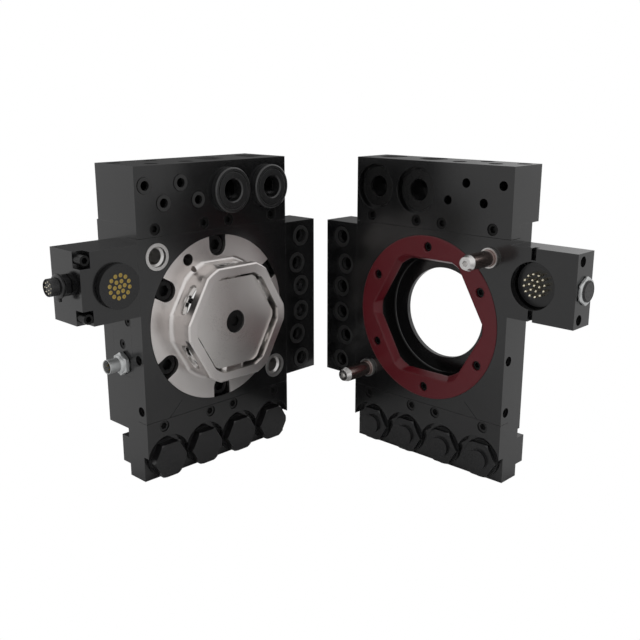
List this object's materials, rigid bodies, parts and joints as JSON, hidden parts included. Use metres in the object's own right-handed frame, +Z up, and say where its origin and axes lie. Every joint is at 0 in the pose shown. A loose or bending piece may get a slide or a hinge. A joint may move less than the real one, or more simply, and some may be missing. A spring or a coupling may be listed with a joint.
{
  "type": "robotic tool changer",
  "caption": "Two-part robot tool changer: a master half with a hexagonal bolt-lock head, and the tool half it couples to, both with fluid, signal and power modules.",
  "frame": {"origin": "centre of the master half's rear face, where the robot's flange meets it", "axes": "+Y out of the master's rear face towards the robot, +Z up along the halves' long sides, +X across towards the tool half, which faces -X"},
  "size_m": [0.3054, 0.3399, 0.2617],
  "materials": {
    "black_anodised": "satin black anodised",
    "satin_steel": "satin",
    "red_steel": "satin dark red",
    "black_steel": "black oxide",
    "seal_rubber": "matt",
    "dark_metal": "satin black",
    "grey_metal": "satin",
    "black_plastic": "matt",
    "gold": "gold-plated"
  },
  "bodies": {
    "master_half": {"master_body": "black_anodised", "coupling_flange": "satin_steel", "guide_bushes": "satin_steel", "robot_screws": "black_steel", "master_fluid_block": "black_anodised", "fluid_couplers": "dark_metal", "fluid_nipples": "seal_rubber", "master_block_screws": "black_steel", "master_port_bank": "black_anodised", "port_seals": "seal_rubber", "signal_housing": "black_anodised", "contact_disc": "black_plastic", "contact_pads": "gold", "signal_connector": "black_plastic", "signal_screws": "black_steel", "sensor_panel": "black_anodised", "sensor_connector": "grey_metal", "panel_screws": "black_steel", "master_side_screws": "black_steel", "master_power_block": "black_anodised", "master_power_plugs": "black_plastic", "master_power_screws": "black_steel"},
    "cam_and_piston": {"locking_cam": "satin_steel", "cam_screw": "black_steel", "drive_piston": "grey_metal", "piston_seal": "seal_rubber"},
    "lock_bolt_body_1": {"lock_bolt_1": "satin_steel"},
    "lock_bolt_body_2": {"lock_bolt_2": "satin_steel"},
    "lock_bolt_body_3": {"lock_bolt_3": "satin_steel"},
    "lock_bolt_body_4": {"lock_bolt_4": "satin_steel"},
    "lock_bolt_body_5": {"lock_bolt_5": "satin_steel"},
    "lock_bolt_body_6": {"lock_bolt_6": "satin_steel"},
    "upper_poppet": {"poppet_upper": "dark_metal"},
    "lower_poppet": {"poppet_lower": "dark_metal"},
    "tool_half": {"tool_body": "black_anodised", "locking_ring": "red_steel", "ring_screws": "black_steel", "locating_pins": "satin_steel", "pin_collars": "satin_steel", "tool_fluid_block": "black_anodised", "coupler_seats": "seal_rubber", "tool_block_screws": "black_steel", "tool_port_bank": "black_anodised", "tool_port_seals": "seal_rubber", "tool_signal_housing": "black_anodised", "pin_insert": "black_plastic", "tool_connector": "grey_metal", "tool_signal_screws": "black_steel", "tool_side_screws": "black_steel", "tool_power_block": "black_anodised", "tool_power_plugs": "black_plastic", "tool_power_screws": "black_steel"},
    "spring_pin_set": {"spring_pins": "gold"}
  },
  "joints": [
    {"name": "cam_slide", "type": "slide", "parent": "master_half", "child": "cam_and_piston", "axis": [0, 1, 0], "range_m": [0, 0.008]},
    {"name": "lock_bolt_slide_1", "type": "slide", "parent": "master_half", "child": "lock_bolt_body_1", "axis": [0.866, 0, 0.5], "range_m": [0, 0.0036]},
    {"name": "lock_bolt_slide_2", "type": "slide", "parent": "master_half", "child": "lock_bolt_body_2", "axis": [0, 0, 1], "range_m": [0, 0.0036]},
    {"name": "lock_bolt_slide_3", "type": "slide", "parent": "master_half", "child": "lock_bolt_body_3", "axis": [-0.866, 0, 0.5], "range_m": [0, 0.0036]},
    {"name": "lock_bolt_slide_4", "type": "slide", "parent": "master_half", "child": "lock_bolt_body_4", "axis": [-0.866, 0, -0.5], "range_m": [0, 0.0036]},
    {"name": "lock_bolt_slide_5", "type": "slide", "parent": "master_half", "child": "lock_bolt_body_5", "axis": [0, 0, -1], "range_m": [0, 0.0036]},
    {"name": "lock_bolt_slide_6", "type": "slide", "parent": "master_half", "child": "lock_bolt_body_6", "axis": [0.866, 0, -0.5], "range_m": [0, 0.0036]},
    {"name": "poppet_slide_upper", "type": "slide", "parent": "master_half", "child": "upper_poppet", "axis": [0, 1, 0], "range_m": [0, 0.003], "stiffness_N_per_m": 500, "springref_m": -0.002},
    {"name": "poppet_slide_lower", "type": "slide", "parent": "master_half", "child": "lower_poppet", "axis": [0, 1, 0], "range_m": [0, 0.003], "stiffness_N_per_m": 500, "springref_m": -0.002},
    {"name": "tool_separation", "type": "slide", "parent": "master_half", "child": "tool_half", "axis": [1, 0, 0], "range_m": [0, 0.06]},
    {"name": "spring_pin_press", "type": "slide", "parent": "tool_half", "child": "spring_pin_set", "axis": [1, 0, 0], "range_m": [0, 0.002], "stiffness_N_per_m": 500, "springref_m": -0.001}
  ],
  "couplings": [
    {"joint": "lock_bolt_slide_1", "follows": "cam_slide", "ratio": 0.45},
    {"joint": "lock_bolt_slide_2", "follows": "cam_slide", "ratio": 0.45},
    {"joint": "lock_bolt_slide_3", "follows": "cam_slide", "ratio": 0.45},
    {"joint": "lock_bolt_slide_4", "follows": "cam_slide", "ratio": 0.45},
    {"joint": "lock_bolt_slide_5", "follows": "cam_slide", "ratio": 0.45},
    {"joint": "lock_bolt_slide_6", "follows": "cam_slide", "ratio": 0.45}
  ]
}
